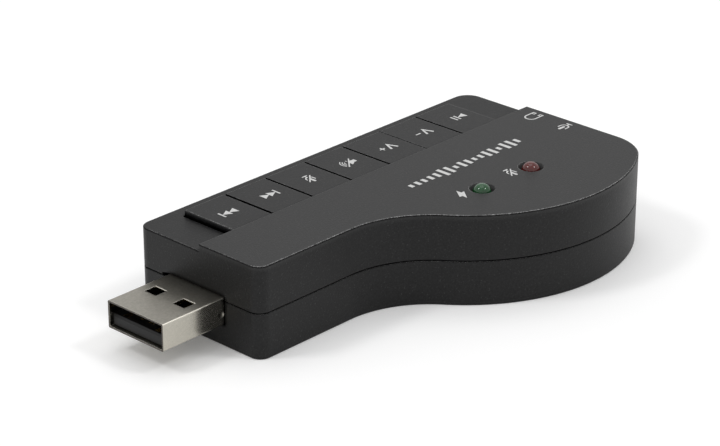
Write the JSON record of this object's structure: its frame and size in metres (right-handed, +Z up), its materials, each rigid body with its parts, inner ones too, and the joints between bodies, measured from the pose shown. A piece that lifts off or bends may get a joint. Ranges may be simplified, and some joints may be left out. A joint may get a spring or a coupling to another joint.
{
  "type": "usb sound card",
  "caption": "Matt black USB sound card with a straight neck and a round bulge, a metal plug, a row of push keys on a lower ledge, small indicator lamps and audio sockets at the far end.",
  "frame": {"origin": "under the middle of the object, on the plane it rests on", "axes": "+X from the plug tip to the socket end, +Y from the bulge to the key side, +Z up through the main plate"},
  "size_m": [0.0886, 0.045, 0.0161],
  "materials": {
    "case_plastic": "fine spark-eroded texture",
    "key_plastic": "fine spark-eroded texture",
    "plug_metal": "satin nickel plate",
    "insulator_plastic": "smooth",
    "contact_gold": "thin gold plate",
    "board": "solder mask",
    "switch_plastic": "smooth",
    "terminal_metal": "tin plate",
    "socket_plastic": "smooth",
    "led_green": "diffused epoxy",
    "led_red": "diffused epoxy",
    "chip_plastic": "moulded epoxy",
    "can_metal": "satin",
    "ceramic_tan": "ceramic",
    "screw_steel": "black zinc"
  },
  "bodies": {
    "case": {"top_shell": "case_plastic", "bottom_shell": "case_plastic", "case_screws": "screw_steel", "switch_base_next": "switch_plastic", "switch_base_previous": "switch_plastic", "switch_base_mic_mute": "switch_plastic", "switch_base_speaker_mute": "switch_plastic", "switch_base_volume_up": "switch_plastic", "switch_base_volume_down": "switch_plastic", "switch_base_play_pause": "switch_plastic", "switch_covers": "terminal_metal", "switch_legs": "terminal_metal", "usb_shell": "plug_metal", "usb_insulator": "insulator_plastic", "usb_contacts": "contact_gold", "circuit_board": "board", "led_green": "led_green", "led_red": "led_red", "led_leads": "terminal_metal", "headphone_socket": "socket_plastic", "headphone_legs": "terminal_metal", "microphone_socket": "socket_plastic", "microphone_legs": "terminal_metal", "codec_chip": "chip_plastic", "codec_leads": "terminal_metal", "crystal": "can_metal", "can_capacitors": "can_metal", "can_bases": "chip_plastic", "chip_capacitors": "ceramic_tan", "chip_resistors": "chip_plastic"},
    "next_key": {"key_next": "key_plastic", "switch_plunger_next": "switch_plastic"},
    "previous_key": {"key_previous": "key_plastic", "switch_plunger_previous": "switch_plastic"},
    "mic_mute_key": {"key_mic_mute": "key_plastic", "switch_plunger_mic_mute": "switch_plastic"},
    "speaker_mute_key": {"key_speaker_mute": "key_plastic", "switch_plunger_speaker_mute": "switch_plastic"},
    "volume_up_key": {"key_volume_up": "key_plastic", "switch_plunger_volume_up": "switch_plastic"},
    "volume_down_key": {"key_volume_down": "key_plastic", "switch_plunger_volume_down": "switch_plastic"},
    "play_pause_key": {"key_play_pause": "key_plastic", "switch_plunger_play_pause": "switch_plastic"}
  },
  "joints": [
    {"name": "next_press", "type": "slide", "parent": "case", "child": "next_key", "axis": [0, 0, -1], "range_m": [0, 0.0003], "stiffness_N_per_m": 3000, "springref_m": -0.00023},
    {"name": "previous_press", "type": "slide", "parent": "case", "child": "previous_key", "axis": [0, 0, -1], "range_m": [0, 0.0003], "stiffness_N_per_m": 3000, "springref_m": -0.00023},
    {"name": "mic_mute_press", "type": "slide", "parent": "case", "child": "mic_mute_key", "axis": [0, 0, -1], "range_m": [0, 0.0003], "stiffness_N_per_m": 3000, "springref_m": -0.00023},
    {"name": "speaker_mute_press", "type": "slide", "parent": "case", "child": "speaker_mute_key", "axis": [0, 0, -1], "range_m": [0, 0.0003], "stiffness_N_per_m": 3000, "springref_m": -0.00023},
    {"name": "volume_up_press", "type": "slide", "parent": "case", "child": "volume_up_key", "axis": [0, 0, -1], "range_m": [0, 0.0003], "stiffness_N_per_m": 3000, "springref_m": -0.00023},
    {"name": "volume_down_press", "type": "slide", "parent": "case", "child": "volume_down_key", "axis": [0, 0, -1], "range_m": [0, 0.0003], "stiffness_N_per_m": 3000, "springref_m": -0.00023},
    {"name": "play_pause_press", "type": "slide", "parent": "case", "child": "play_pause_key", "axis": [0, 0, -1], "range_m": [0, 0.0003], "stiffness_N_per_m": 3000, "springref_m": -0.00023}
  ]
}
